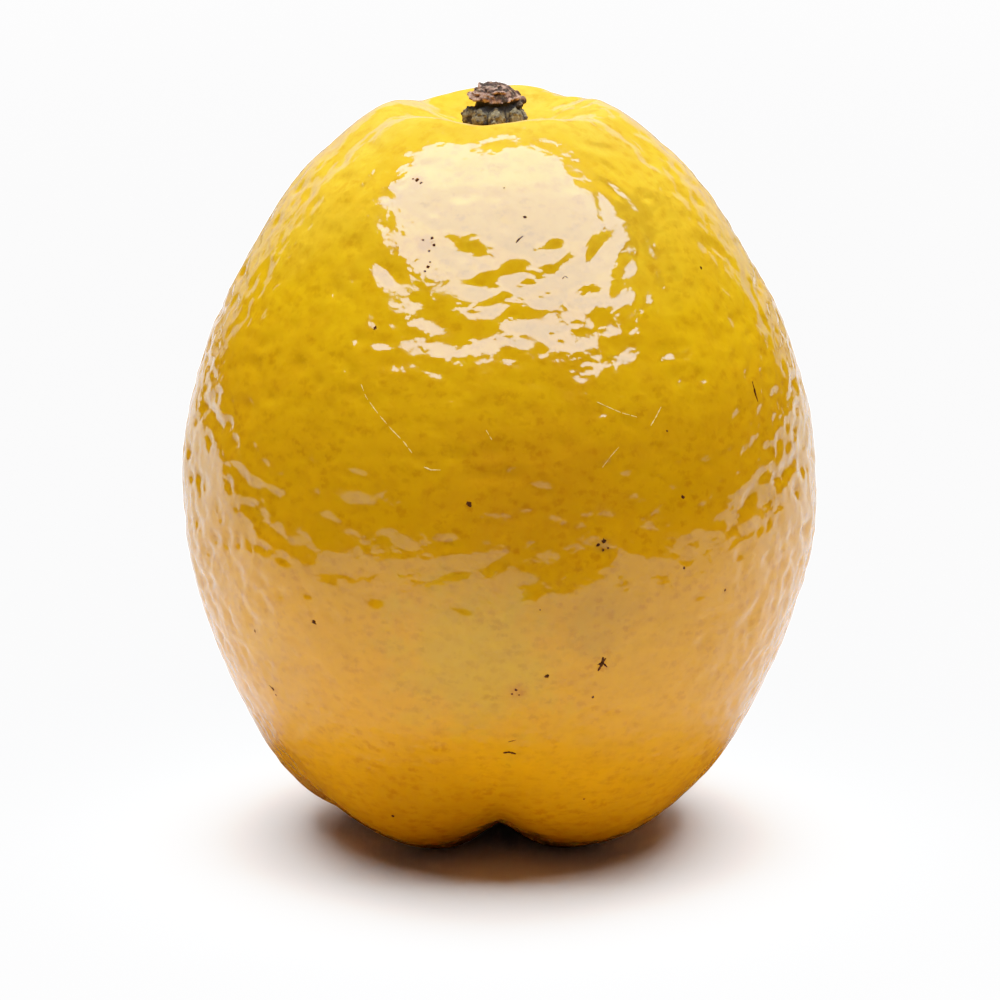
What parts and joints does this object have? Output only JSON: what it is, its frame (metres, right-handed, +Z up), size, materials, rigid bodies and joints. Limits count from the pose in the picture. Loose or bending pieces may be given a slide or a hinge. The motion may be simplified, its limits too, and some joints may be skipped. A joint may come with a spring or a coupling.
{
  "type": "quince",
  "caption": "Whole ripe quince with shallow lobes, a woody stalk stub on top and a dried calyx in the basin it stands on.",
  "frame": {"origin": "on the resting plane, under the middle of the fruit", "axes": "+Z up from the blossom end to the stalk, -Y towards the side with the deepest groove"},
  "size_m": [0.0812, 0.0806, 0.097],
  "materials": {
    "skin": "waxy gloss with fine pores, deep yellow",
    "bark": "rough cork",
    "dried_sepal": "dry and matt"
  },
  "bodies": {
    "root": {"fruit": "skin", "stalk": "bark", "calyx": "dried_sepal"}
  },
  "joints": []
}
